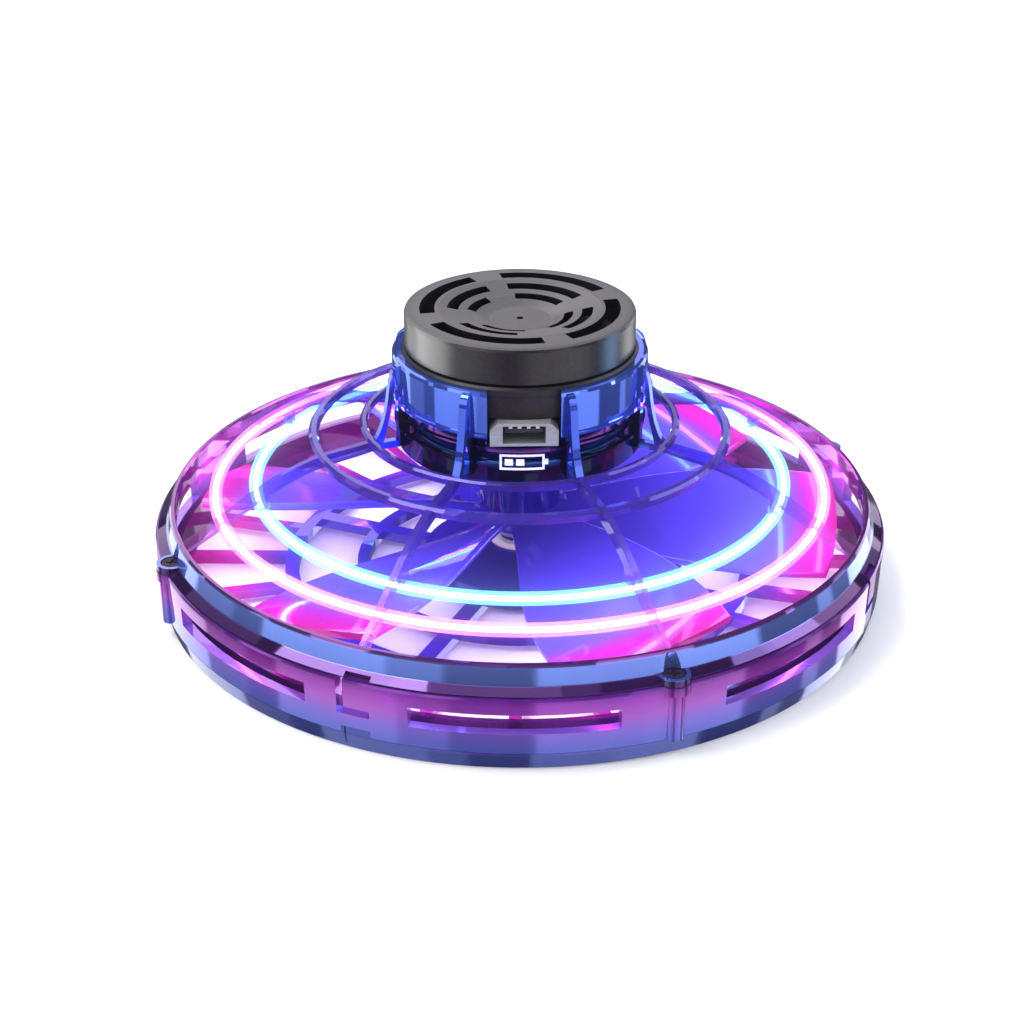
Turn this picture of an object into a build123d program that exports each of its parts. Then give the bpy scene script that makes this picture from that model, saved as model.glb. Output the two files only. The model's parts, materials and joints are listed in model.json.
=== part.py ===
from build123d import *
import os
from math import radians, sin, cos, pi

# Light-up flying spinning top: a round see-through cage around a hidden propeller,
# with a hub on top that holds the battery, the circuit board and the charging port,
# and a slotted cap on a ball bearing that the fingers hold.
# Millimetres, +Z up, origin on the floor at the centre of the base ring.
# Azimuth 0 is the front (-Y), where the charging port is, and grows towards +X.

os.makedirs("parts", exist_ok=True)

# ---------------------------------------------------------------- driving sizes
t_spoke = 0.85              # spoke thickness
t_outer_rib = 1.5           # width of the grille's outer ribs
n_ribs = 8                  # spokes, fins and wall slots around the cage
cage_yaw = -2.6             # the cage pattern stands this far round from the port
r_base_bot = 46.8           # base ring, outer, at the floor
r_base_top = 47.3
z_base = 2.1                # top of the base ring
z_lip = 5.2                 # upstand of the base ring, seen in the lower half of the wall slots
r_drum_top = 47.5           # lower drum, outer, at its top edge
z_drum = 9.3
t_drum = 1.2
r_rim_bot = 46.05           # upper rim band, outer
r_rim_top = 45.5
r_rim_in = 44.7
z_ledge = 10.2
z_rim = 12.55
z_boss = 10.25              # top of the screw bosses on the ledge
r_ring1, z_ring1 = 20.1, 22.4
r_ring2, z_ring2 = 26.55, 21.5
r_collar = 16.25
r_collar_in = 15.05
z_collar_bot = 20.0
z_collar = 32.2
r_hub = 14.95
z_hub_bot = 17.5
z_hub = 31.35
r_cap = 14.6
z_cap_bot = 32.85
z_cap = 37.4
r_pink, z_pink, t_pink = 39.5, 13.6, 0.70     # pink light ring: radius, height, tube radius
r_cyan, z_cyan, t_cyan = 34.3, 14.7, 0.65     # cyan light ring
slot_half_deg = 14.6        # wall slots
slot_z0, slot_z1 = 4.75, 7.3
r_lug = 46.4                # screw lugs on the drum
prop_r = 41.4               # propeller
prop_blades = 6
prop_az0 = 20.0
port_w, port_h = 8.3, 2.95  # charging port face
port_z0 = 25.55
btn_z = 28.15               # power button, at the back of the hub
bearing_bore, bearing_od, bearing_w = 4.0, 9.0, 2.5

step = 360.0 / n_ribs
rib_az = [step / 2 + step * k + cage_yaw for k in range(n_ribs)]
lug_az = [22.5 + 90 * k + cage_yaw for k in range(4)]
snap_az = [-22.5 + 90 * k + cage_yaw for k in range(4)]
slot_az = [step * k + cage_yaw for k in range(n_ribs)]


# ---------------------------------------------------------------- helpers
def at_az(shape, az):
    """Turn a shape built along +X to the given azimuth."""
    return Rot(0, 0, az - 90.0) * shape


def xy(r, az):
    a = radians(az)
    return r * sin(a), -r * cos(a)


def face_rz(pts):
    return make_face(Polyline([(r, 0, z) for r, z in pts], close=True))


def turn(pts, arc=360.0):
    return revolve(face_rz(pts), Axis.Z, arc)


def sector(pts, az0, az1):
    return at_az(turn(pts, az1 - az0), az0)


def cyl(r, z0, z1, x=0.0, y=0.0):
    return Pos(x, y, (z0 + z1) / 2) * Cylinder(r, z1 - z0)


def tube(ro, ri, z0, z1, x=0.0, y=0.0):
    return cyl(ro, z0, z1, x, y) - cyl(ri, z0 - 1, z1 + 1, x, y)


def block(x0, x1, y0, y1, z0, z1):
    return Pos((x0 + x1) / 2, (y0 + y1) / 2, (z0 + z1) / 2) * Box(x1 - x0, y1 - y0, z1 - z0)


def plate_rz(face, t):
    """Extrude a face in the XZ plane both ways to thickness t."""
    return extrude(face, t / 2, dir=(0, 1, 0), both=True)


def group(shapes):
    out = []
    for s in shapes:
        out += list(s.solids())
    return Compound(children=out)


written = []


def save(name, shape, colour=None):
    solids = list(shape.solids())
    obj = solids[0] if len(solids) == 1 else Compound(children=solids)
    obj.label = name
    export_step(obj, "parts/%s.step" % name)
    written.append((name, len(solids), sum(s.volume for s in solids)))
    return shape


# ================================================================ lower cage
# Base ring with the bottom grille: three rings, short outer ribs and long inner ribs.
grille_z0, grille_z1 = 0.8, z_base
base = turn([(44.6, 0), (r_base_bot, 0), (r_base_top, z_base), (45.85, z_base), (45.85, 3.0), (45.5, 3.3),
             (45.5, z_lip), (44.8, z_lip), (44.6, z_base)])
mid_ring = tube(31.2, 29.4, grille_z0, grille_z1)
in_ring = tube(21.6, 20.0, grille_z0, grille_z1)
boss = tube(11.6, 3.2, grille_z0 + 1.4, 3.4) + tube(5.0, 3.2, 3.3, 4.8)
grille = base + mid_ring + in_ring + boss
for k in range(24):
    grille += at_az(block(31.0, 44.9, -t_outer_rib / 2, t_outer_rib / 2, grille_z0, grille_z1), 15 * k + cage_yaw)
for az in rib_az:
    grille += at_az(block(11.2, 29.6, -1.1, 1.1, grille_z0 + 0.0, grille_z1), az)
grille += tube(12.6, 11.0, grille_z0, 3.4)
# snap tabs that step up into the drum wall, each with a fine split line
for az in snap_az:
    grille += sector([(45.95, z_base - 0.3), (47.25, z_base - 0.3), (47.3, 2.95), (45.95, 2.95)], az - 2.1, az + 2.3)
    x, y = xy(47.2, az - 1.6)
    grille -= at_az(block(46.9, 48.0, -0.09, 0.09, -1, 3.2), az - 1.6)
save("bottom_grille", grille)

# Drum wall with eight slots, four screw lugs and four L-shaped snap slots.
drum = turn([(47.3 - t_drum, 2.15), (47.3, 2.15), (47.5, 9.0), (47.36, z_drum), (47.5 - t_drum - 0.1, z_drum)])
for az in lug_az:
    x, y = xy(r_lug, az)
    cx, cy = xy(47.05, az)
    drum += cyl(2.0, 8.1, z_drum, x, y) + cyl(1.1, 2.15, 8.3, cx, cy)
    drum += cyl(1.35, 4.0, 8.3, x, y)
drum = drum - turn([(0, -1), (45.66, -1), (45.66, z_lip + 0.2), (44.75, z_lip + 0.3), (44.75, 12), (0, 12)])
for az in slot_az:
    cut = sector([(44, slot_z0), (49, slot_z0), (49, slot_z1), (44, slot_z1)], az - slot_half_deg, az + slot_half_deg)
    drum -= cut
for az in snap_az:
    drum -= sector([(44, 4.72), (49, 4.72), (49, z_drum + 1), (44, z_drum + 1)], az - 2.7, az - 1.65)
    drum -= sector([(44, 4.72), (49, 4.72), (49, 5.65), (44, 5.65)], az - 2.0, az + 2.3)
    drum -= sector([(45.9, 2.0), (49, 2.0), (49, 3.0), (45.9, 3.0)], az - 2.15, az + 2.35)
for az in lug_az:
    x, y = xy(r_lug, az)
    drum -= cyl(0.62, z_lip + 0.4, 12, x, y)
save("lower_drum", drum)

# ================================================================ upper cage
rim = turn([(r_rim_in + 0.15, 9.36), (47.15, 9.36), (47.15, 9.5), (r_rim_bot, z_ledge), (r_rim_top, 12.2),
            (45.25, z_rim), (r_rim_in + 0.15, z_rim), (r_rim_in, 12.3), (r_rim_in + 0.25, z_ledge)])
for az in lug_az:   # a boss on the ledge, sunk for the screw's head, and a flute in the wall for the driver
    x, y = xy(r_lug, az)
    rim += cyl(1.9, 9.36, z_boss, x, y)
    rim -= turn([(0, 9), (r_rim_in + 0.15, 9), (r_rim_in + 0.25, z_ledge), (r_rim_in, 12.3), (0, 12.3)])
    rim -= cyl(1.42, 9.75, z_boss + 0.01, x, y)
    rim -= cyl(0.68, 9, 14, x, y)
    x, y = xy(r_lug + 0.12, az)
    rim -= cyl(1.22, z_boss, 14, x, y)
for az in snap_az:   # the ledge is cut back where the wall's snap tongue rises
    rim -= sector([(46.4, 9.3), (48, 9.3), (48, 9.9), (46.4, 9.9)], az - 1.6, az + 2.4)
save("upper_rim", rim)

ring1 = turn([(r_ring1 - 0.45, z_ring1 - 0.75), (r_ring1 + 0.4, z_ring1 - 0.85), (r_ring1 + 0.5, z_ring1 - 0.1),
              (r_ring1 + 0.2, z_ring1 + 0.15), (r_ring1 - 0.3, z_ring1 + 0.15), (r_ring1 - 0.5, z_ring1 - 0.1)])
save("cage_inner_ring", ring1)
ring2 = turn([(r_ring2 - 0.55, z_ring2 - 0.95), (r_ring2 + 0.5, z_ring2 - 1.05), (r_ring2 + 0.65, z_ring2 - 0.25),
              (r_ring2 + 0.3, z_ring2 + 0.1), (r_ring2 - 0.35, z_ring2 + 0.1), (r_ring2 - 0.6, z_ring2 - 0.25)])
save("cage_outer_ring", ring2)

pink = Pos(0, 0, z_pink) * Torus(r_pink, t_pink)
cyan = Pos(0, 0, z_cyan) * Torus(r_cyan, t_cyan)
save("pink_light_ring", pink)
save("cyan_light_ring", cyan)

# Spokes: thin plates that run from the fins down over the dome to the rim.
# The pink ring sits in their lower edge, and the cyan ring hangs from a short tab on each.
top = Spline((19.7, 0, 22.45), (22.5, 0, 21.95), (26.6, 0, 21.45), (31.0, 0, 20.1), (35.0, 0, 18.2),
             (39.5, 0, 15.6), (42.6, 0, 13.75), (45.2, 0, 12.3))
bot = Spline((45.2, 0, 10.9), (42.6, 0, 12.2), (39.5, 0, 13.9), (35.0, 0, 16.45), (31.0, 0, 18.45), (26.6, 0, 19.9),
             (22.5, 0, 20.55), (19.7, 0, 21.1))
f = make_face([top, Line((45.2, 0, 12.3), (45.2, 0, 10.9)), bot, Line((19.7, 0, 21.1), (19.7, 0, 22.45))])
tab = make_face(Polyline([(r_cyan - 0.55, 0, z_cyan), (r_cyan + 0.55, 0, z_cyan), (r_cyan + 0.75, 0, 17.3), (r_cyan - 0.75, 0, 17.6)], close=True))
spoke = plate_rz(f, t_spoke) + plate_rz(tab, t_spoke)
cut_all = rim + ring1 + ring2
clip = Pos(0, 0, z_pink) * Torus(r_pink, t_pink + 0.02)
clip2 = Pos(0, 0, z_cyan) * Torus(r_cyan, t_cyan + 0.02)
spokes = []
for az in rib_az:
    s = at_az(spoke, az) - cut_all - clip - clip2
    big = sorted(s.solids(), key=lambda q: -q.volume)
    spokes.append(big[0])
save("cage_spokes", Compound(children=spokes))

# Collar with its fins. The front window shows the hub and the port; the rear one the button.
collar = turn([(r_collar_in, z_collar_bot), (15.75, z_collar_bot), (15.75, 22.6), (16.15, 22.85), (16.15, 23.25),
               (15.75, 23.4), (15.75, 24.7), (16.05, 24.9), (16.05, 25.2), (15.75, 25.35), (15.75, 26.2), (16.35, 26.45), (16.35, 26.85),
               (r_collar, 27.0), (r_collar, 31.75), (16.05, 32.1), (15.7, z_collar), (r_collar_in, z_collar)])
fin_top = Spline((16.0, 0, 32.0), (16.7, 0, 31.85), (17.3, 0, 30.9), (17.75, 0, 28.6), (18.3, 0, 25.6), (19.65, 0, 22.4))
ff = make_face([fin_top, Line((19.65, 0, 22.4), (19.65, 0, 21.1)), Line((19.65, 0, 21.1), (15.4, 0, 21.1)),
                Line((15.4, 0, 21.1), (15.4, 0, 32.0)), Line((15.4, 0, 32.0), (16.0, 0, 32.0))])
fin = plate_rz(ff, 0.95)
fin_open = plate_rz(face_rz([(16.6, 22.0), (18.6, 22.0), (17.5, 26.0), (17.0, 29.0), (16.6, 29.6)]), 2.0)
for az in rib_az:
    collar += at_az(fin - fin_open, az)
collar -= turn([(0, 15), (r_collar_in, 15), (r_collar_in, 40), (0, 40)])
collar -= ring1
front_win = block(-4.46, 4.46, -20, -10, 25.45, 40)
back_win = block(-3.4, 3.4, 10, 17.4, 24.6, 40)
collar = collar - front_win - back_win
# smooth label field under the port: the beads stop at its edges
lab = sector([(15.6, 20.3), (16.0, 20.3), (16.0, 25.2), (15.6, 25.2)], -16.2, 16.2)
beads = sector([(16.0, 20.3), (16.5, 20.3), (16.5, 25.26), (16.0, 25.26)], -16.2, 16.2)
collar = collar + lab - beads
save("collar", collar)

# screws that hold the two cage halves together
screws = []
for az in lug_az:
    x, y = xy(r_lug, az)
    s = cyl(1.3, 9.76, 10.16, x, y) + cyl(0.6, z_lip + 0.55, 9.9, x, y)
    s -= Pos(x, y, 10.16) * Box(1.5, 0.34, 0.44) + Pos(x, y, 10.16) * Box(0.34, 1.5, 0.44)
    screws.append(s)
save("rim_screws", group(screws))

# ================================================================ hub
hub = turn([(5.35, z_hub_bot), (12.2, z_hub_bot), (13.7, 18.2), (14.6, 19.2), (r_hub, 20.4), (r_hub, z_hub), (13.7, z_hub),
            (13.7, 20.9), (13.2, 19.6), (12.0, 18.75), (5.35, 18.7)])
hub -= block(-port_w / 2 - 0.05, port_w / 2 + 0.05, -17, -10, port_z0 - 0.05, port_z0 + port_h + 0.05)
hub -= Pos(0, 14, btn_z) * Rot(90, 0, 0) * Cylinder(2.26, 8)
# three screw posts for the lid and a ledge for the board
for az in (60, 180 - 35, -60, -145):
    x, y = xy(11.9, az)
    hub += cyl(1.5, z_hub_bot + 1.1, z_hub - 0.2, x, y)
hub = hub & (cyl(13.7, z_hub_bot, 19.5) + cyl(r_hub, 19.5, z_hub))
for az in (60, 180 - 35, -60, -145):
    x, y = xy(11.9, az)
    hub -= cyl(0.62, 24, 40, x, y)
hub -= Pos(0, 14, btn_z) * Rot(90, 0, 0) * Cylinder(2.26, 8)
save("hub_body", hub)

lid = turn([(2.02, 30.75), (6.9, 30.75), (6.9, 31.4), (15.0, 31.4), (15.0, 32.25), (14.7, 32.5), (6.25, 32.5), (6.25, 31.85), (2.02, 31.85)])
for az in (60, 145, -60, -145):
    x, y = xy(11.9, az)
    lid -= cyl(0.66, 30, 34, x, y) + cyl(1.2, 31.9, 34, x, y)
save("hub_lid", lid)

hs = []
for az in (60, 145, -60, -145):
    x, y = xy(11.9, az)
    s = cyl(1.15, 31.92, 32.45, x, y) + cyl(0.6, 26.0, 32.0, x, y)
    s -= Pos(x, y, 32.45) * Box(1.5, 0.34, 0.5) + Pos(x, y, 32.45) * Box(0.34, 1.5, 0.5)
    hs.append(s)
save("hub_lid_screws", group(hs))

# board, rests under the port and round the posts
pcb = cyl(13.4, 24.45, 25.5)
for az in (60, 145, -60, -145):
    x, y = xy(11.9, az)
    pcb -= cyl(1.65, 20, 30, x, y)
save("circuit_board", pcb)

batt = block(-8.2, 8.2, -7.4, 8.0, 26.2, 30.2)
batt = fillet(batt.edges().filter_by(Axis.Z), 1.6)
save("battery", batt)
tabs = [block(-6.4, -4.9, -9.0, -7.42, 27.6, 29.2), block(4.9, 6.4, -9.0, -7.42, 27.6, 29.2)]
save("battery_tabs", group(tabs))

chip = Pos(7.6, 0, 24.06) * Box(4.0, 4.0, 0.7)
chip = chamfer(chip.edges().group_by(Axis.Z)[0], 0.15)
save("control_chip", chip)
leds = []
for a in (0, 32, 90, 180, 270, 328):
    x, y = xy(11.3, a)
    leds.append(Pos(x, y, 24.0) * Rot(0, 0, a) * Box(1.6, 1.2, 0.8))
save("board_leds", group(leds))

# charging port: a folded metal shell with chamfered upper corners, a tongue and four contacts
pz1 = port_z0 + port_h
pts = [(-port_w / 2, port_z0), (port_w / 2, port_z0), (port_w / 2, pz1 - 0.95), (port_w / 2 - 0.95, pz1),
       (-port_w / 2 + 0.95, pz1), (-port_w / 2, pz1 - 0.95)]
pf = make_face(Polyline([(x, -16.1, z) for x, z in pts], close=True))
shell = extrude(pf, 5.6, dir=(0, 1, 0))
shell -= block(-2.6, 2.6, -17, -11.0, port_z0 + 0.34, pz1 - 0.36)
save("charge_port_shell", shell)
save("port_tongue", block(-2.3, 2.3, -15.5, -11.05, port_z0 + 1.55, port_z0 + 2.1))
cts = [block(x - 0.22, x + 0.22, -15.7, -11.6, port_z0 + 2.14, port_z0 + 2.5) for x in (-1.65, -0.55, 0.55, 1.65)]
save("port_contacts", group(cts))

# power switch on the board and the button that reaches it through the back wall
sw = block(-2.4, 2.4, 8.9, 12.0, 25.55, 29.6) + Pos(0, 12.2, btn_z) * Rot(90, 0, 0) * Cylinder(1.1, 0.5)
save("power_switch", sw)
btn = Pos(0, 14.4, btn_z) * Rot(90, 0, 0) * Cylinder(2.2, 2.7)
btn += Pos(0, 13.19, btn_z) * Rot(90, 0, 0) * Cylinder(2.55, 0.34)
btn = fillet(btn.edges().filter_by(lambda e: abs(e.center().Y - 15.75) < 0.05), 0.35)
save("power_button", btn)

# ================================================================ motor and propeller
mount = tube(5.3, 4.3, 10.7, 23.9) + tube(7.6, 4.3, z_hub_bot + 1.22, z_hub_bot + 2.2)
mount += tube(4.5, 3.0, 10.7, 11.3)
save("motor_mount", mount)
save("motor_can", tube(4.25, 3.95, 11.4, 22.9) + tube(4.0, 0.56, 11.4, 11.9))
save("motor_magnet", tube(2.6, 0.75, 11.92, 20.9))
save("motor_winding", tube(3.65, 2.9, 12.3, 21.9) + tube(3.65, 0.5, 21.3, 21.9))
endcap = tube(4.25, 0.56, 22.92, 23.8) + tube(3.9, 3.0, 22.3, 22.95)
save("motor_endcap", endcap)
save("motor_terminals", group([block(-2.6, -1.8, -0.6, 0.6, 23.82, 24.4), block(1.8, 2.6, -0.6, 0.6, 23.82, 24.4)]))
save("motor_shaft", cyl(0.5, 7.2, 23.4))

hubp = turn([(0.5, 6.4), (3.4, 6.4), (4.3, 7.4), (4.3, 10.1), (0.5, 10.1)])
prop = hubp


def blade_section(r, chord, pitch, zc, t):
    w = Plane(origin=(r, 0, zc), x_dir=(0, 1, 0), z_dir=(1, 0, 0))
    sk = Rot(0, 0, 0) * RectangleRounded(chord, t, t * 0.49)
    return w * (Rot(0, 0, pitch) * sk)


secs = [blade_section(3.3, 5.6, 28, 8.6, 1.3), blade_section(12.0, 11.0, 24, 9.1, 1.1),
        blade_section(25.0, 19.0, 15.5, 9.5, 1.0), blade_section(36.0, 21.5, 12, 9.6, 0.9),
        blade_section(43.0, 20.5, 11, 9.6, 0.85)]
blade = loft(secs, ruled=False)
blade = blade & cyl(prop_r, 2, 20)
for k in range(prop_blades):
    prop += at_az(blade, prop_az0 + 360.0 / prop_blades * k)
prop -= cyl(0.5, 0, 30)
prop = prop - tube(6.2, 4.32, 10.2, 20) - cyl(4.32, 10.1, 20)
save("propeller", prop)

# ================================================================ finger cap on its bearing
cap = turn([(0, z_cap - 2.45), (4.2, z_cap - 2.45), (6.1, z_cap - 1.9), (8.7, z_cap - 1.4), (10.4, z_cap - 1.15), (13.4, z_cap - 1.15),
            (13.4, z_cap_bot), (r_cap, z_cap_bot), (r_cap, z_cap - 0.45),
            (r_cap - 0.13, z_cap - 0.13), (r_cap - 0.45, z_cap), (10.3, z_cap), (8.7, z_cap - 0.3), (6.1, z_cap - 0.8),
            (4.4, z_cap - 1.4), (3.9, z_cap - 1.5), (0, z_cap - 1.5)])
boss = tube(5.4, bearing_od / 2, 32.2, 35.2)
cap += boss
arcs = [  # inner radius, outer radius, start and end azimuth of each slot
    (10.75, 12.65, -62.7, 12), (10.75, 12.65, 28.3, 101.3), (10.75, 12.65, 119, 190.5), (10.75, 12.65, 209.5, 279.5),
    (7.8, 9.2, -57, -4), (7.8, 9.2, 39, 91.5), (7.8, 9.2, 119, 189), (7.8, 9.2, 207, 267),
    (5.55, 6.7, -48, 4), (5.55, 6.7, 33, 90), (5.55, 6.7, 122, 184), (5.55, 6.7, 219, 261)]
for a, b, s, e in arcs:
    cap -= sector([(a, 34.0), (b, 34.0), (b, 38), (a, 38)], s, e)
cap -= cyl(0.45, 35.3, 38)
save("finger_cap", cap)

zb0 = 32.05
save("bearing_outer_race", tube(bearing_od / 2, 3.9, zb0, zb0 + bearing_w))
save("bearing_inner_race", tube(2.6, bearing_bore / 2, zb0, zb0 + bearing_w))
balls = []
for k in range(7):
    x, y = xy(3.25, 360.0 / 7 * k)
    balls.append(Pos(x, y, zb0 + bearing_w / 2) * Sphere(0.63))
save("bearing_balls", group(balls))
cage = tube(3.5, 3.0, zb0 + 0.3, zb0 + bearing_w - 0.3)
for k in range(7):
    cage -= at_az(Pos(3.25, 0, zb0 + bearing_w / 2) * Rot(0, 90, 0) * Cylinder(0.68, 2.0), 360.0 / 7 * k)
save("bearing_ball_cage", cage)
spindle = cyl(2.0, 30.4, 34.7) + cyl(3.2, 30.3, 30.72) + tube(2.75, 1.9, 31.87, zb0 - 0.02)
save("cap_spindle", spindle)

# ================================================================ bottom finger pad
pad = turn([(0, 0.35), (6.4, 0.35), (7.3, 0.6), (7.5, 1.1), (7.5, 1.9), (0, 1.9)]) + cyl(1.5, 1.8, 5.8)
pad += cyl(2.1, 1.85, 2.15)
pad -= turn([(3.0, 0), (6.0, 0), (5.6, 0.75), (3.4, 0.75)])
pad -= tube(1.6, 1.2, 5.15, 5.5)
save("bottom_finger_pad", pad)
save("pad_bush", tube(3.18, 1.55, 2.25, 4.95) + tube(3.9, 1.55, 4.85, 5.05))
save("pad_clip", tube(2.6, 1.22, 5.18, 5.47) - block(-0.9, 0.9, -4, 0, 5, 7))

print("nodes", len(written), "volume mm3", round(sum(w[2] for w in written), 1))
for w in written:
    print("  %-22s solids %2d  vol %9.2f" % w)
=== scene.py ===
import json
import math
import bpy
import bmesh
from mathutils import Vector, Matrix


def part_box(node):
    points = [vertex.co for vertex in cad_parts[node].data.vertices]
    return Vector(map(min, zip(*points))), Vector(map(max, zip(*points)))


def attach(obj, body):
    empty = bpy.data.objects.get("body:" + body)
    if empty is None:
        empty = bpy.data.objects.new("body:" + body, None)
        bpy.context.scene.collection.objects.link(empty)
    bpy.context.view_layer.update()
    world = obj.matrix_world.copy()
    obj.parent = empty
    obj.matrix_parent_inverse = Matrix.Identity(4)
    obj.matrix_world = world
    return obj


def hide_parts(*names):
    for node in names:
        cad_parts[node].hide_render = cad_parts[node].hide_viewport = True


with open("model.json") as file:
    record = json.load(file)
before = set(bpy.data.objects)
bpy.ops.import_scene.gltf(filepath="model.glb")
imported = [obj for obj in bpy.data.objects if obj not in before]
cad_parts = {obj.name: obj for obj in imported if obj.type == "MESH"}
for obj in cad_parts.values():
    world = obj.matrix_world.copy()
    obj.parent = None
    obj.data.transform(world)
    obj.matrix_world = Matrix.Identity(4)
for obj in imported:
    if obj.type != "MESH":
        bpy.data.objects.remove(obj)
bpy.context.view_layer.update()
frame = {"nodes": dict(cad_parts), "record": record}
nodes = frame["nodes"]
MM = 0.001

sc = bpy.context.scene
sc.view_settings.view_transform = "Standard"
sc.view_settings.look = "None"
sc.cycles.transparent_max_bounces = 48
sc.cycles.max_bounces = 10
sc.cycles.glossy_bounces = 4
sc.cycles.sample_clamp_indirect = 6.0
sc.cycles.caustics_reflective = False
sc.cycles.caustics_refractive = False

# ------------------------------------------------------------------ camera
# 121 mm above the table, 223 mm in front of the spin axis, 26.8 degrees down, a long lens,
# and the port turned a little to the right of it.
YAW = math.radians(1.7)
TILT = math.radians(26.82)
cam_data = bpy.data.cameras.new("camera")
cam_data.sensor_width = 36.0
cam_data.lens = 1889.0 / 1024.0 * 36.0
cam = bpy.data.objects.new("camera", cam_data)
sc.collection.objects.link(cam)
turn = Matrix.Rotation(-YAW, 4, "Z")
place = Matrix.Translation((-0.001, -0.2232, 0.12136)) @ Matrix.Rotation(math.pi / 2 - TILT, 4, "X")
cam.matrix_world = turn @ place
cam_data.clip_start, cam_data.clip_end = 0.005, 20.0
sc.camera = cam


# ------------------------------------------------------------------ node helpers
def srgb(r, g, b):
    """0-255 sRGB to linear."""
    def f(c):
        c /= 255.0
        return c / 12.92 if c <= 0.04045 else ((c + 0.055) / 1.055) ** 2.4
    return (f(r), f(g), f(b), 1.0)


class Tree:
    """Shader nodes with short names."""

    def __init__(self, name):
        self.mat = bpy.data.materials.new(name)
        self.mat.use_nodes = True
        self.nt = self.mat.node_tree
        self.nt.nodes.clear()
        self.out = self.nt.nodes.new("ShaderNodeOutputMaterial")
        co = self.node("ShaderNodeTexCoord").outputs["Object"]
        big = self.node("ShaderNodeVectorMath")
        big.operation = "SCALE"
        big.inputs["Scale"].default_value = 1000.0
        self.nt.links.new(co, big.inputs[0])
        self.vec = big.outputs[0]                       # millimetres
        sep = self.node("ShaderNodeSeparateXYZ")
        self.nt.links.new(self.vec, sep.inputs[0])
        self.x, self.y, self.z = sep.outputs
        self.r = self.math("SQRT", self.math("ADD", self.math("MULTIPLY", self.x, self.x),
                                             self.math("MULTIPLY", self.y, self.y)))

    def node(self, kind):
        return self.nt.nodes.new(kind)

    def set(self, n, key, v):
        if isinstance(v, bpy.types.NodeSocket):
            self.nt.links.new(v, n.inputs[key])
        else:
            n.inputs[key].default_value = v

    def math(self, op, a, b=None, clamp=False):
        n = self.node("ShaderNodeMath")
        n.operation = op
        n.use_clamp = clamp
        self.set(n, 0, a)
        if b is not None:
            self.set(n, 1, b)
        return n.outputs[0]

    def span(self, v, lo, hi, smooth=False):
        """v from lo..hi to 0..1."""
        n = self.node("ShaderNodeMapRange")
        n.clamp = True
        if smooth:
            n.interpolation_type = "SMOOTHSTEP"
        self.set(n, 0, v)
        n.inputs[1].default_value = lo
        n.inputs[2].default_value = hi
        return n.outputs[0]

    def ramp(self, v, stops, lo=0.0, hi=1.0, interp="LINEAR"):
        """Colour stops placed at values of v between lo and hi."""
        n = self.node("ShaderNodeValToRGB")
        n.color_ramp.interpolation = interp
        e = n.color_ramp.elements
        while len(e) < len(stops):
            e.new(0.5)
        for el, (p, c) in zip(e, stops):
            el.position = (p - lo) / (hi - lo)
            c = (c, c, c) if isinstance(c, (int, float)) else c
            el.color = (c[0], c[1], c[2], 1.0)
        self.set(n, 0, self.span(v, lo, hi))
        return n.outputs[0]

    def mix(self, fac, a, b, mode="MIX"):
        n = self.node("ShaderNodeMix")
        n.data_type = "RGBA"
        n.blend_type = mode
        self.set(n, 0, fac)
        self.set(n, 6, a)
        self.set(n, 7, b)
        return n.outputs[2]

    def noise(self, scale, detail=3.0, rough=0.55, vec=None):
        n = self.node("ShaderNodeTexNoise")
        self.nt.links.new(vec or self.vec, n.inputs["Vector"])
        n.inputs["Scale"].default_value = scale
        n.inputs["Detail"].default_value = detail
        n.inputs["Roughness"].default_value = rough
        return n.outputs["Fac"]

    def principled(self, colour, rough, metallic=0.0, coat=0.0, ior=1.5, spec=0.5, bump=0.0, bump_scale=0.4, spread=0.35):
        p = self.node("ShaderNodeBsdfPrincipled")
        self.set(p, "Base Color", colour)
        p.inputs["Metallic"].default_value = metallic
        p.inputs["IOR"].default_value = ior
        p.inputs["Specular IOR Level"].default_value = spec
        p.inputs["Coat Weight"].default_value = coat
        p.inputs["Coat Roughness"].default_value = 0.03
        self.set(p, "Roughness", self.ramp(self.noise(0.8, 4.0), [(0.3, rough * (1 - spread)), (0.75, min(1.0, rough * (1 + spread)))]))
        if bump:
            b = self.node("ShaderNodeBump")
            b.inputs["Strength"].default_value = 1.0
            b.inputs["Distance"].default_value = bump * MM
            self.set(b, "Height", self.noise(bump_scale, 3.0))
            self.nt.links.new(b.outputs[0], p.inputs["Normal"])
        return p

    def see_through(self, solid_shader, tint, solid, fresnel=0.0, ior=1.5):
        """Tinted clear plastic: the solid share covers, the rest shows what is behind it."""
        tr = self.node("ShaderNodeBsdfTransparent")
        self.set(tr, "Color", tint)
        mx = self.node("ShaderNodeMixShader")
        if fresnel:
            fr = self.node("ShaderNodeFresnel")
            fr.inputs["IOR"].default_value = ior
            fac = self.math("ADD", self.math("MULTIPLY", fr.outputs[0], fresnel), solid, clamp=True)
        else:
            fac = solid
        self.set(mx, 0, fac)
        self.nt.links.new(tr.outputs[0], mx.inputs[1])
        self.nt.links.new(solid_shader.outputs[0], mx.inputs[2])
        return mx

    def done(self, shader):
        self.nt.links.new(shader.outputs[0], self.out.inputs[0])
        return self.mat


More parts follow.
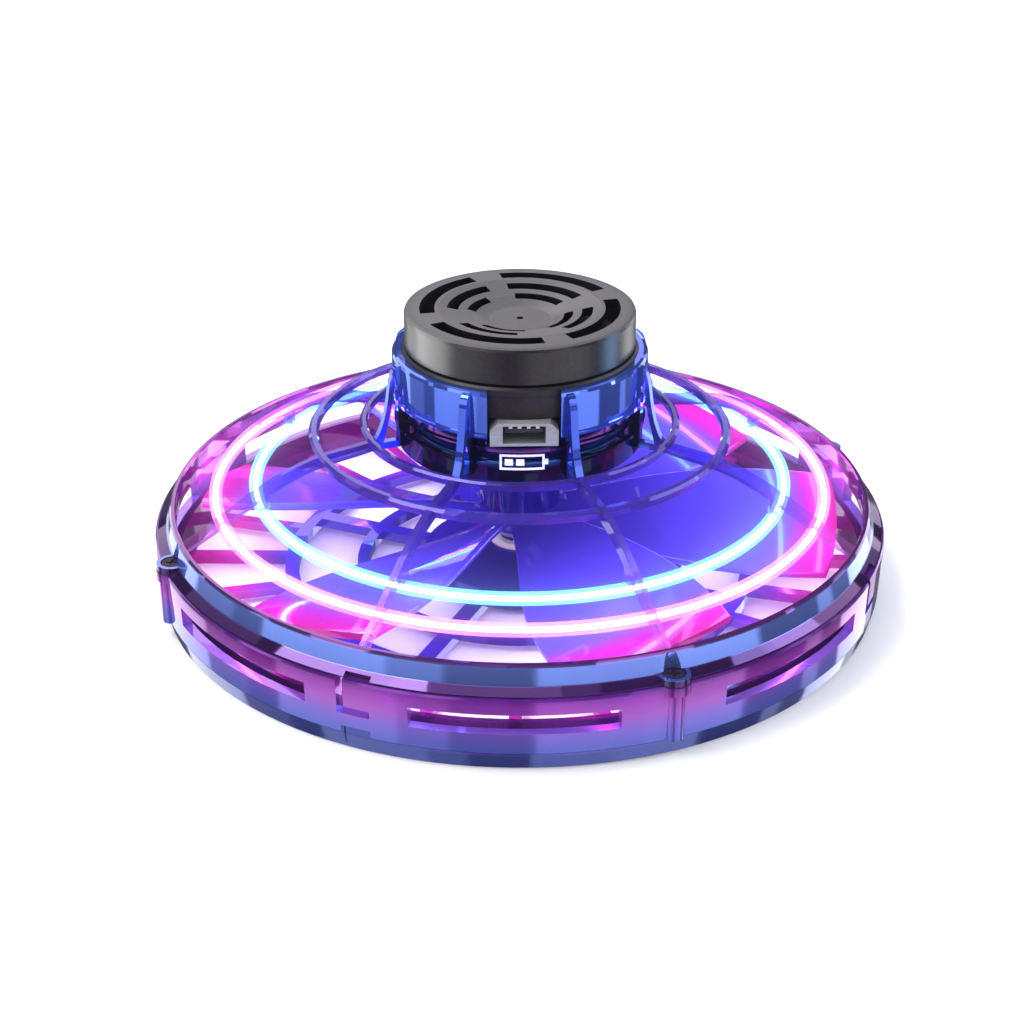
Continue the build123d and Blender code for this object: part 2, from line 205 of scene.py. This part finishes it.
def solid_stuff(name, dark, light, rough, metallic=0.0, grain=1.2, bump=0.02, coat=0.0, stretch=None, spec=0.5, big=0.12):
    """Opaque plastics and metals: a fine grain, a slow variation and a fine bump."""
    t = Tree(name)
    src = t.vec
    if stretch is not None:
        mp = t.node("ShaderNodeMapping")
        mp.inputs["Scale"].default_value = stretch
        t.nt.links.new(t.vec, mp.inputs["Vector"])
        src = mp.outputs[0]
    g = t.noise(grain, 5.0, 0.6, src)
    col = t.ramp(g, [(0.3, dark), (0.7, light)])
    col = t.mix(0.25, col, t.ramp(t.noise(big, 2.0), [(0.35, 0.6), (0.7, 1.0)]), "MULTIPLY")
    p = t.node("ShaderNodeBsdfPrincipled")
    t.set(p, "Base Color", col)
    p.inputs["Metallic"].default_value = metallic
    p.inputs["Specular IOR Level"].default_value = spec
    p.inputs["Coat Weight"].default_value = coat
    p.inputs["Coat Roughness"].default_value = 0.08
    t.set(p, "Roughness", t.ramp(g, [(0.25, rough * 0.75), (0.8, min(1.0, rough * 1.25))]))
    b = t.node("ShaderNodeBump")
    b.inputs["Strength"].default_value = 0.5
    b.inputs["Distance"].default_value = bump * MM
    t.set(b, "Height", t.noise(grain * 3.0, 4.0, 0.6, src))
    t.nt.links.new(b.outputs[0], p.inputs["Normal"])
    return t.done(p)


# ------------------------------------------------------------------ materials
M = {}

# Spokes and cage rings: clear plastic, smoky violet near the hub and pale towards the rim.
t = Tree("cage_tint")
col = t.ramp(t.r, [(0, srgb(76, 56, 168)), (24, srgb(88, 66, 180)), (31, srgb(104, 80, 200)), (37, srgb(196, 160, 236)), (46, srgb(214, 168, 228))], 0, 50)
col = t.mix(0.15, col, t.ramp(t.noise(0.12, 1.0), [(0.35, (0.6, 0.6, 0.75)), (0.7, (1.2, 1.2, 1.2))]), "MULTIPLY")
p = t.principled(col, 0.06, 0.3, 0.8)
tint = t.ramp(t.r, [(0, srgb(170, 165, 240)), (32, srgb(205, 195, 250)), (44, srgb(250, 220, 248))], 0, 50)
share = t.math("MULTIPLY", t.span(t.r, 36.5, 29.5, True), 0.32)
M["cage_tint"] = t.done(t.see_through(p, tint, t.math("ADD", share, 0.06), 0.55, 1.55))

# Grille and base ring: indigo inside, magenta outside, and the outer ring itself plated steel blue.
t = Tree("grille_tint")
col = t.ramp(t.r, [(0, srgb(40, 20, 130)), (22, srgb(58, 30, 175)), (31, srgb(78, 40, 190)), (35, srgb(150, 50, 190)), (40, srgb(196, 36, 165)), (44.3, srgb(120, 16, 120)), (45.4, srgb(104, 14, 118)), (45.8, srgb(64, 84, 170)), (48, srgb(68, 90, 178))], 0, 50)
col = t.mix(0.3, col, t.ramp(t.noise(0.12, 2.0), [(0.35, (0.6, 0.6, 0.8)), (0.7, (1.2, 1.2, 1.15))]), "MULTIPLY")
p = t.principled(col, 0.07, 0.55, 0.6, bump=0.01)
tint = t.ramp(t.r, [(0, srgb(150, 140, 240)), (32, srgb(190, 160, 245)), (38, srgb(245, 170, 235)), (44.5, srgb(235, 120, 215)), (46, srgb(150, 170, 240))], 0, 50)
# painted glow: this emission paints the light of the light rings and LEDs onto the grille, violet inside and magenta
# towards the rim; the grille is no lamp
t.set(p, "Emission Color", t.ramp(t.r, [(0, (0.02, 0.01, 0.12)), (24, (0.06, 0.03, 0.32)), (32, (0.12, 0.06, 0.46)), (36, (0.45, 0.05, 0.42)), (43.5, (0.5, 0.04, 0.32)), (44.6, (0.02, 0.0, 0.02)), (48, (0.0, 0.0, 0.0))], 0, 50))
p.inputs["Emission Strength"].default_value = 0.45
M["grille_tint"] = t.done(t.see_through(p, tint, 0.66, 0.3))

# Drum wall: lilac, purple under the ledge and bluer towards the floor.
t = Tree("drum_tint")
col = t.ramp(t.z, [(2, srgb(88, 112, 214)), (4.2, srgb(132, 110, 222)), (6.2, srgb(176, 94, 206)), (8.2, srgb(160, 58, 180)), (9.3, srgb(98, 32, 138))], 0, 10)
col = t.mix(0.25, col, t.ramp(t.noise(0.1, 2.0), [(0.35, (0.7, 0.7, 0.85)), (0.7, (1.15, 1.15, 1.1))]), "MULTIPLY")
p = t.principled(col, 0.08, 0.5, 0.5, bump=0.01)
tint = t.ramp(t.z, [(2, srgb(170, 190, 250)), (6, srgb(215, 170, 250)), (9, srgb(200, 120, 235))], 0, 10)
M["drum_tint"] = t.done(t.see_through(p, tint, 0.72, 0.3))

# Upper rim: plated blue wall, deep purple ledge below it and a plum top edge.
t = Tree("rim_tint")
col = t.ramp(t.z, [(9.3, srgb(64, 24, 96)), (10.12, srgb(66, 24, 98)), (10.3, srgb(100, 134, 228)), (12.15, srgb(110, 142, 236)), (12.4, srgb(110, 46, 130)), (12.6, srgb(96, 40, 120))], 9, 13)
inside = t.span(t.math("SUBTRACT", t.r, t.math("MULTIPLY", t.math("SUBTRACT", 12.3, t.z), 0.13)), 44.95, 44.9)
col = t.mix(inside, col, srgb(150, 60, 170))
col = t.mix(0.2, col, t.ramp(t.noise(0.1, 2.0), [(0.35, (0.7, 0.7, 0.85)), (0.7, (1.15, 1.15, 1.1))]), "MULTIPLY")
p = t.principled(col, 0.05, 0.75, 0.6, bump=0.006)
M["rim_tint"] = t.done(t.see_through(p, srgb(190, 150, 240), 0.86, 0.14))

# Collar: plated periwinkle band and fins over a navy lower part.
t = Tree("collar_tint")
low = t.ramp(t.z, [(20, srgb(11, 15, 56)), (25.9, srgb(7, 11, 46)), (26.3, srgb(84, 116, 232)), (32.2, srgb(92, 126, 236))], 18, 34)
col = t.mix(t.span(t.r, 16.35, 16.9), low, srgb(72, 100, 214))
col = t.mix(0.2, col, t.ramp(t.noise(0.16, 2.0), [(0.35, (0.7, 0.7, 0.85)), (0.7, (1.15, 1.15, 1.1))]), "MULTIPLY")
p = t.principled(col, 0.05, 0.8, 0.12, bump=0.004)
M["collar_tint"] = t.done(t.see_through(p, srgb(90, 105, 225), 0.93, 0.07))

# Motor mount: translucent indigo.
t = Tree("mount_tint")
col = t.ramp(t.noise(0.3, 3.0), [(0.3, srgb(26, 14, 104)), (0.7, srgb(44, 24, 150))])
p = t.principled(col, 0.12, 0.2, 0.5, bump=0.01)
M["mount_tint"] = t.done(p)

# Propeller: indigo with a painted glow from inside, painted lighter blue under the cyan ring, magenta at the tips.
t = Tree("blade_tint")
# painted light: the stops at 32 and 35 mm are lighter and bluer where the cyan ring's light falls on the blades
col = t.ramp(t.r, [(0, srgb(34, 16, 140)), (12, srgb(50, 24, 186)), (24, srgb(64, 44, 222)), (32, srgb(78, 82, 248)), (35, srgb(104, 84, 246)), (37.6, srgb(196, 40, 190)), (42, srgb(208, 24, 158))], 0, 50)
col = t.mix(0.3, col, t.ramp(t.noise(0.09, 2.0), [(0.35, (0.55, 0.55, 0.75)), (0.7, (1.2, 1.2, 1.15))]), "MULTIPLY")
p = t.principled(col, 0.05, 0.2, 0.8, bump=0.01)
# painted glow: this emission paints the light of the rings and LEDs onto the blades, strongest under the cyan ring;
# the propeller is no lamp
t.set(p, "Emission Color", t.ramp(t.r, [(0, (0.03, 0.015, 0.22)), (12, (0.10, 0.05, 0.5)), (30, (0.28, 0.17, 0.86)), (35.4, (0.3, 0.17, 0.76)), (37.8, (0.3, 0.03, 0.25)), (42, (0.32, 0.03, 0.22))], 0, 50))
p.inputs["Emission Strength"].default_value = 0.5
tint = t.ramp(t.r, [(0, srgb(140, 120, 250)), (33, srgb(150, 150, 255)), (38, srgb(250, 140, 235)), (42, srgb(245, 110, 225))], 0, 50)
M["blade_tint"] = t.done(t.see_through(p, tint, 0.64, 0.3))


def light_guide(name, core, deep, strength, share=1.0, clear=(1.0, 1.0, 1.0, 1.0)):
    """A lit light guide: its light is a little uneven along its length."""
    t = Tree(name)
    col = t.ramp(t.noise(0.12, 2.0), [(0.3, deep), (0.62, core)])
    p = t.principled(col, 0.25)
    t.set(p, "Emission Color", col)
    p.inputs["Emission Strength"].default_value = strength
    return t.done(p if share == 1.0 else t.see_through(p, clear, share))


M["pink_glow"] = light_guide("pink_glow", (1.0, 0.56, 0.93), (1.0, 0.44, 0.88), 7.5)
M["cyan_glow"] = light_guide("cyan_glow", (0.50, 0.93, 1.0), (0.36, 0.85, 1.0), 7.0)
M["pink_sleeve"] = light_guide("pink_sleeve", (1.0, 0.42, 0.88), (1.0, 0.36, 0.82), 1.15, 0.25, (1.0, 0.80, 0.96, 1.0))
M["cyan_sleeve"] = light_guide("cyan_sleeve", (0.26, 0.68, 1.0), (0.20, 0.58, 1.0), 1.2, 0.28, (0.80, 0.95, 1.0, 1.0))
M["screw_steel"] = solid_stuff("screw_steel", (0.16, 0.16, 0.19), (0.34, 0.34, 0.4), 0.32, 1.0, 1.5)
M["screw_black"] = solid_stuff("screw_black", (0.006, 0.004, 0.01), (0.02, 0.014, 0.03), 0.4, 0.3, 1.5)
M["hub_black"] = solid_stuff("hub_black", (0.008, 0.008, 0.009), (0.018, 0.018, 0.019), 0.42, 0.0, 2.0, spec=0.35)
# Finger cap: satin black, a little polished on its side wall and rougher, less metallic on top; the top face is
# painted lighter as painted light from above, and the slot walls and inner faces are painted near black as painted
# shade.
t = Tree("cap_black")
g = t.noise(2.2, 3.0, 0.5)
facing = t.node("ShaderNodeNewGeometry")
normal = t.node("ShaderNodeSeparateXYZ")
t.nt.links.new(facing.outputs["True Normal"], normal.inputs[0])
# mask of the upward faces: they get the painted light colour below, and also a rougher, less metallic finish
top = t.math("MULTIPLY", t.span(normal.outputs[2], 0.5, 0.75), t.span(t.z, 35.2, 35.6))
outer = t.span(t.r, 13.45, 13.7)
# painted light: the top face's colour is about twice as light as the wall's, standing in for light falling on it from
# above
painted_top_light = t.ramp(g, [(0.3, (0.082, 0.082, 0.08)), (0.7, (0.098, 0.098, 0.096))])
wall = t.ramp(g, [(0.3, (0.036, 0.036, 0.036)), (0.7, (0.044, 0.044, 0.044))])
# painted shade: inside r 13.45 mm (slot walls and the cap's inner faces) the colour is near black, standing in for the
# shade inside the slots
col = t.mix(outer, (0.004, 0.004, 0.0045, 1), wall)
col = t.mix(top, col, painted_top_light)
p = t.node("ShaderNodeBsdfPrincipled")
t.set(p, "Base Color", col)
t.set(p, "Metallic", t.math("MULTIPLY", outer, t.math("SUBTRACT", 0.8, t.math("MULTIPLY", top, 0.6))))
p.inputs["Specular IOR Level"].default_value = 0.6
t.set(p, "Roughness", t.mix(top, t.ramp(g, [(0.25, 0.27), (0.8, 0.33)]), t.ramp(g, [(0.25, 0.34), (0.8, 0.42)])))
b = t.node("ShaderNodeBump")
b.inputs["Strength"].default_value = 0.3
b.inputs["Distance"].default_value = 0.002 * MM
t.set(b, "Height", t.noise(5.0, 2.0))
t.nt.links.new(b.outputs[0], p.inputs["Normal"])
M["cap_black"] = t.done(p)
M["board_green"] = solid_stuff("board_green", (0.01, 0.09, 0.03), (0.03, 0.17, 0.07), 0.35, 0.0, 0.6, coat=0.4)
M["battery_wrap"] = solid_stuff("battery_wrap", (0.05, 0.14, 0.36), (0.10, 0.24, 0.5), 0.3, 0.0, 0.5, coat=0.3)
M["nickel"] = solid_stuff("nickel", (0.45, 0.44, 0.4), (0.65, 0.63, 0.58), 0.3, 1.0, 1.5)
M["chip_black"] = solid_stuff("chip_black", (0.015, 0.015, 0.015), (0.035, 0.035, 0.035), 0.55)
M["led_lens"] = solid_stuff("led_lens", (0.8, 0.84, 0.95), (0.95, 0.97, 1.0), 0.2, coat=0.5)
M["port_steel"] = solid_stuff("port_steel", (0.36, 0.37, 0.37), (0.5, 0.51, 0.51), 0.36, 0.5, 1.2, stretch=(0.3, 3.0, 3.0))
M["port_black"] = solid_stuff("port_black", (0.01, 0.01, 0.012), (0.03, 0.03, 0.035), 0.5)
M["gold_contact"] = solid_stuff("gold_contact", (0.62, 0.6, 0.55), (0.82, 0.8, 0.74), 0.3, 0.4)
M["button_black"] = solid_stuff("button_black", (0.03, 0.03, 0.035), (0.06, 0.06, 0.07), 0.45)
M["motor_steel"] = solid_stuff("motor_steel", (0.42, 0.42, 0.44), (0.6, 0.6, 0.62), 0.3, 1.0, 0.8, stretch=(3, 3, 0.3))
M["magnet"] = solid_stuff("magnet", (0.1, 0.1, 0.11), (0.22, 0.22, 0.24), 0.5, 0.6)
M["motor_plastic"] = solid_stuff("motor_plastic", (0.6, 0.6, 0.57), (0.75, 0.75, 0.72), 0.5)
M["shaft_steel"] = solid_stuff("shaft_steel", (0.55, 0.55, 0.58), (0.75, 0.75, 0.78), 0.18, 1.0, 0.8)
M["copper_wire"] = solid_stuff("copper_wire", (0.5, 0.2, 0.09), (0.8, 0.38, 0.18), 0.35, 1.0, 1.2, stretch=(0.4, 0.4, 5))
M["bearing_steel"] = solid_stuff("bearing_steel", (0.55, 0.56, 0.58), (0.72, 0.73, 0.75), 0.16, 1.0, 0.8)
M["ball_cage_nylon"] = solid_stuff("ball_cage_nylon", (0.66, 0.65, 0.58), (0.8, 0.79, 0.72), 0.5)

slot_of = {s["node"]: s["material_slot"] for s in frame["record"]["subparts"]}
for name, ob in nodes.items():
    ob.data.materials.clear()
    ob.data.materials.append(M[slot_of[name]])
    for poly in ob.data.polygons:
        poly.material_index = 0


# ------------------------------------------------------------------ fine edges
def soften(node, width, segments=2, angle=32):
    m = nodes[node].modifiers.new("fine_edges", "BEVEL")
    m.width = width * MM
    m.segments = segments
    m.limit_method = "ANGLE"
    m.angle_limit = math.radians(angle)
    m.harden_normals = False
    m.use_clamp_overlap = True


for node, width in (("cage_spokes", 0.14), ("cage_inner_ring", 0.10), ("cage_outer_ring", 0.12), ("collar", 0.10),
                    ("upper_rim", 0.10), ("lower_drum", 0.12), ("finger_cap", 0.14), ("charge_port_shell", 0.10)):
    soften(node, width)

# ------------------------------------------------------------------ light rings: a bright core in a tinted sleeve
def ring_mesh(name, radius, tube, z, mat, around=288, across=14):
    me = bpy.data.meshes.new(name)
    bm = bmesh.new()
    rows = []
    for i in range(around):
        a = 2 * math.pi * i / around
        rows.append([bm.verts.new(((radius + tube * math.cos(b)) * math.cos(a) * MM, (radius + tube * math.cos(b)) * math.sin(a) * MM,
                                   (z + tube * math.sin(b)) * MM)) for b in (2 * math.pi * j / across for j in range(across))])
    for i in range(around):
        for j in range(across):
            k, l = (i + 1) % around, (j + 1) % across
            bm.faces.new((rows[i][j], rows[k][j], rows[k][l], rows[i][l])).smooth = True
    bmesh.ops.recalc_face_normals(bm, faces=bm.faces)
    bm.to_mesh(me)
    bm.free()
    ob = bpy.data.objects.new(name, me)
    ob.data.materials.append(mat)
    sc.collection.objects.link(ob)
    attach(ob, "cage")
    return ob


for colour in ("pink", "cyan"):
    node = colour + "_light_ring"
    lo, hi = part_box(node)
    tube = (hi[2] - lo[2]) / 2 / MM
    radius, z = hi[0] / MM - tube, (hi[2] + lo[2]) / 2 / MM
    core = ring_mesh(colour + "_light_core", radius, 0.33, z, M[colour + "_glow"])
    sleeve = ring_mesh(colour + "_light_sleeve", radius, 0.84, z, M[colour + "_sleeve"])
    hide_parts(node)
    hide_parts(node)


# ------------------------------------------------------------------ charging symbol printed under the port: a battery outline
def symbol_point(x, z, r=16.06):
    """A point of the print, x mm to the right on the collar's curved field."""
    a = x / r
    return (r * math.sin(a) * MM, -r * math.cos(a) * MM, z * MM)


def print_patch(bm, x0, x1, z0, z1, cols):
    """A thin printed block that follows the curve."""
    rows = []
    for i in range(cols + 1):
        x = x0 + (x1 - x0) * i / cols
        rows.append([bm.verts.new(symbol_point(x, z, r)) for z, r in ((z0, 15.98), (z0, 16.06), (z1, 16.06), (z1, 15.98))])
    for i in range(cols):
        for j in range(4):
            bm.faces.new((rows[i][j], rows[i + 1][j], rows[i + 1][(j + 1) % 4], rows[i][(j + 1) % 4]))
    for row in (rows[0][::-1], rows[-1]):
        bm.faces.new(row)


bm = bmesh.new()
for x0, x1, z0, z1, n in ((-3.0, 2.5, 24.08, 24.36, 16), (-3.0, 2.5, 22.32, 22.60, 16), (-3.0, -2.72, 22.60, 24.08, 1), (2.22, 2.5, 22.60, 24.08, 1),
                          (2.5, 2.95, 22.98, 23.70, 2), (-2.36, -1.36, 22.92, 23.76, 3), (-0.98, 0.02, 22.92, 23.76, 3)):
    print_patch(bm, x0, x1, z0, z1, n)
bmesh.ops.recalc_face_normals(bm, faces=bm.faces)
me = bpy.data.meshes.new("charge_symbol")
bm.to_mesh(me)
bm.free()
symbol = bpy.data.objects.new("charge_symbol", me)
sc.collection.objects.link(symbol)
t = Tree("symbol_print_and_glow")
p = t.principled(t.ramp(t.noise(2.5, 3.0), [(0.3, srgb(214, 216, 236)), (0.7, srgb(244, 245, 255))]), 0.4)
# painted glow: a faint emission makes the printed symbol brighter than its lighting gives; the white itself is the
# print
t.set(p, "Emission Color", srgb(225, 228, 250))
p.inputs["Emission Strength"].default_value = 0.25
symbol.data.materials.append(t.done(p))
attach(symbol, "cage")


# ------------------------------------------------------------------ stage
def stage_plane(name, size, z):
    me = bpy.data.meshes.new(name)
    me.from_pydata([(-size, -size, z), (size, -size, z), (size, size, z), (-size, size, z)], [], [(0, 1, 2, 3)])
    ob = bpy.data.objects.new(name, me)
    sc.collection.objects.link(ob)
    return ob


floor = stage_plane("floor", 6.0, -0.00005)
t = Tree("floor_paper")
p = t.principled(t.ramp(t.noise(0.01, 2.0), [(0.3, (0.95, 0.95, 0.955)), (0.7, (0.97, 0.97, 0.97))]), 0.6, spec=0.2)
floor.data.materials.append(t.done(p))
floor.visible_glossy = False       # the gloss sees the studio's soft boxes all round

# World: even white to look at, soft light from above, and tall soft boxes with dark gaps for the gloss.
w = bpy.data.worlds.new("studio")
sc.world = w
w.use_nodes = True
nt = w.node_tree
nt.nodes.clear()


def wn(kind):
    return nt.nodes.new(kind)


def wset(n, key, v):
    if isinstance(v, bpy.types.NodeSocket):
        nt.links.new(v, n.inputs[key])
    else:
        n.inputs[key].default_value = v


def wmath(op, a, b=None):
    n = wn("ShaderNodeMath")
    n.operation = op
    wset(n, 0, a)
    if b is not None:
        wset(n, 1, b)
    return n.outputs[0]


def wspan(v, lo, hi):
    n = wn("ShaderNodeMapRange")
    wset(n, 0, v)
    n.inputs[1].default_value, n.inputs[2].default_value = lo, hi
    return n.outputs[0]


def wramp(v, stops, interp="LINEAR"):
    n = wn("ShaderNodeValToRGB")
    n.color_ramp.interpolation = interp
    e = n.color_ramp.elements
    while len(e) < len(stops):
        e.new(0.5)
    for el, (p, c) in zip(e, stops):
        el.position = p
        c = (c, c, c) if isinstance(c, (int, float)) else c
        el.color = (c[0], c[1], c[2], 1.0)
    wset(n, 0, v)
    return n.outputs[0]


def wmix(fac, a, b):
    n = wn("ShaderNodeMix")
    n.data_type = "RGBA"
    wset(n, 0, fac)
    wset(n, 6, a)
    wset(n, 7, b)
    return n.outputs[2]


def wbg(color, strength=1.0):
    n = wn("ShaderNodeBackground")
    wset(n, 0, color)
    n.inputs[1].default_value = strength
    return n.outputs[0]


sep = wn("ShaderNodeSeparateXYZ")
nt.links.new(wn("ShaderNodeTexCoord").outputs["Generated"], sep.inputs[0])
dx, dy, dz = sep.outputs
around = wmath("ARCTAN2", dx, wmath("MULTIPLY", dy, -1.0))        # 0 towards the camera's side, + to the right
turns = wspan(around, -math.pi, math.pi)
boxes = [(-180, 0.12), (-150, 1.9), (-118, 0.42), (-97, 0.12), (-84, 1.15), (-41, 0.6), (-24, 0.09), (3, 1.1), (38, 1.35), (73, 0.09),
         (99, 0.9), (107, 0.22), (119, 2.6), (141, 0.9), (150, 0.12)]
stops = []
for i, (a, v) in enumerate(boxes):
    if i:
        stops.append(((a - 0.6 + 180) / 360, (boxes[i - 1][1],) * 3))
        stops.append(((a + 0.6 + 180) / 360, (v,) * 3))
    else:
        stops.append((0.0, (v,) * 3))
stops.append((1.0, (boxes[-1][1],) * 3))
STRENGTH = 2.6
stops = [(p, tuple(c / STRENGTH for c in v)) for p, v in stops]
sides = wramp(turns, stops)
# overhead: a patchwork of flat panels
over = wn("ShaderNodeCombineXYZ")
flat = wmath("ADD", wmath("MAXIMUM", dz, 0.0), 0.35)
wset(over, 0, wmath("DIVIDE", dx, flat))
wset(over, 1, wmath("DIVIDE", dy, flat))
cells = wn("ShaderNodeTexVoronoi")
cells.distance = "CHEBYCHEV"
cells.inputs["Scale"].default_value = 2.3
cells.inputs["Randomness"].default_value = 0.75
nt.links.new(over.outputs[0], cells.inputs["Vector"])
pick = wn("ShaderNodeSeparateColor")
nt.links.new(cells.outputs["Color"], pick.inputs[0])
panels = wramp(pick.outputs[0], [(0.0, (0.02, 0.018, 0.035)), (0.36, (0.05, 0.045, 0.08)), (0.46, (0.2, 0.18, 0.26)), (0.62, (0.5, 0.43, 0.52)), (0.8, (0.85, 0.74, 0.82))], "CONSTANT")
gloss = wmix(wspan(dz, 0.02, 0.05), sides, panels)
light_from_above = wramp(wspan(dz, -0.4, 0.6), [(0.0, 0.30), (0.4, 0.5), (0.7, 0.95), (1.0, 1.05)])

lp = wn("ShaderNodeLightPath")
m1 = wn("ShaderNodeMixShader")
wset(m1, 0, lp.outputs["Is Camera Ray"])
nt.links.new(wbg(light_from_above), m1.inputs[1])
nt.links.new(wbg((0.985, 0.985, 0.985, 1)), m1.inputs[2])
m2 = wn("ShaderNodeMixShader")
wset(m2, 0, lp.outputs["Is Glossy Ray"])
nt.links.new(m1.outputs[0], m2.inputs[1])
nt.links.new(wbg(gloss, STRENGTH), m2.inputs[2])
out = wn("ShaderNodeOutputWorld")
nt.links.new(m2.outputs[0], out.inputs[0])


def area(name, loc, target, size, power, color=(1, 1, 1)):
    ld = bpy.data.lights.new(name, "AREA")
    ld.shape = "RECTANGLE"
    ld.size, ld.size_y = size
    ld.energy = power
    ld.color = color
    ob = bpy.data.objects.new(name, ld)
    sc.collection.objects.link(ob)
    ob.location = loc
    ob.rotation_mode = "QUATERNION"
    ob.rotation_quaternion = (Vector(target) - Vector(loc)).to_track_quat("-Z", "Y")
    return ob


area("key", (-0.30, -0.05, 0.50), (0, 0, 0.02), (0.3, 0.3), 2.2)
area("fill", (0.40, 0.05, 0.32), (0, 0, 0.02), (0.2, 0.3), 0.8, (0.75, 0.85, 1.0))


# LEDs inside the cage: pink towards the rim, violet-white over the grille
def led(name, r, az, z, power, color, size=1.2):
    ld = bpy.data.lights.new(name, "POINT")
    ld.energy = power
    ld.color = color
    ld.shadow_soft_size = size * MM
    ob = bpy.data.objects.new(name, ld)
    sc.collection.objects.link(ob)
    ob.location = (r * math.sin(math.radians(az)) * MM, -r * math.cos(math.radians(az)) * MM, z * MM)
    ob.visible_camera = False
    ob.visible_glossy = False
    return ob


for k in range(12):
    led("led_rim_%02d" % k, 42.6, 30 * k + 12.4, 9.5, 0.0034, (1.0, 0.62, 0.96))
for k in range(8):
    led("led_mid_%02d" % k, 30.0, 45 * k + 19.9, 14.2, 0.0022, (0.86, 0.76, 1.0))


def wash(name, radius, z, power, color):
    """A round sheet of light between the blades and the grille, shining down through the grille."""
    ld = bpy.data.lights.new(name, "AREA")
    ld.shape = "DISK"
    ld.size = 2 * radius * MM
    ld.energy = power
    ld.color = color
    ob = bpy.data.objects.new(name, ld)
    sc.collection.objects.link(ob)
    ob.location = (0, 0, z * MM)
    ob.visible_camera = False
    ob.visible_glossy = False


wash("grille_wash", 43.5, 5.6, 0.0072, (1.0, 0.66, 0.94))
wash("grille_wash_inner", 28.0, 5.5, 0.0022, (0.80, 0.84, 1.0))


# two tall soft boxes that light only the finger cap, so its wall shades from bright to dark and to blue
def cap_strip(name, az, dist, z, w_mm, h_mm, power, color):
    ld = bpy.data.lights.new(name, "AREA")
    ld.shape = "RECTANGLE"
    ld.size = w_mm * MM
    ld.size_y = h_mm * MM
    ld.energy = power
    ld.color = color
    ob = bpy.data.objects.new(name, ld)
    sc.collection.objects.link(ob)
    a = math.radians(az)
    ob.location = (dist * math.sin(a) * MM, -dist * math.cos(a) * MM, z * MM)
    ob.rotation_euler = (math.radians(90), 0, a)
    ob.visible_camera = False
    ob.light_linking.receiver_collection = cap_only


cap_only = bpy.data.collections.new("cap_only")
cap_only.objects.link(nodes["finger_cap"])
cap_strip("cap_left", -98, 300, 10, 240, 260, 1.5, (1.0, 1.0, 0.98))
cap_strip("cap_right", 96, 300, 10, 90, 260, 0.5, (0.30, 0.58, 1.0))

# a little bloom in the lens round the lit rings
sc.use_nodes = True
ct = sc.node_tree
ct.nodes.clear()
layers = ct.nodes.new("CompositorNodeRLayers")
glare = ct.nodes.new("CompositorNodeGlare")
glare.glare_type = "BLOOM"
glare.quality = "HIGH"
for key, v in (("Threshold", 1.6), ("Smoothness", 0.3), ("Strength", 0.26), ("Saturation", 1.0), ("Size", 0.40)):
    glare.inputs[key].default_value = v
ct.links.new(layers.outputs["Image"], glare.inputs["Image"])
comp = ct.nodes.new("CompositorNodeComposite")
ct.links.new(glare.outputs[0], comp.inputs[0])
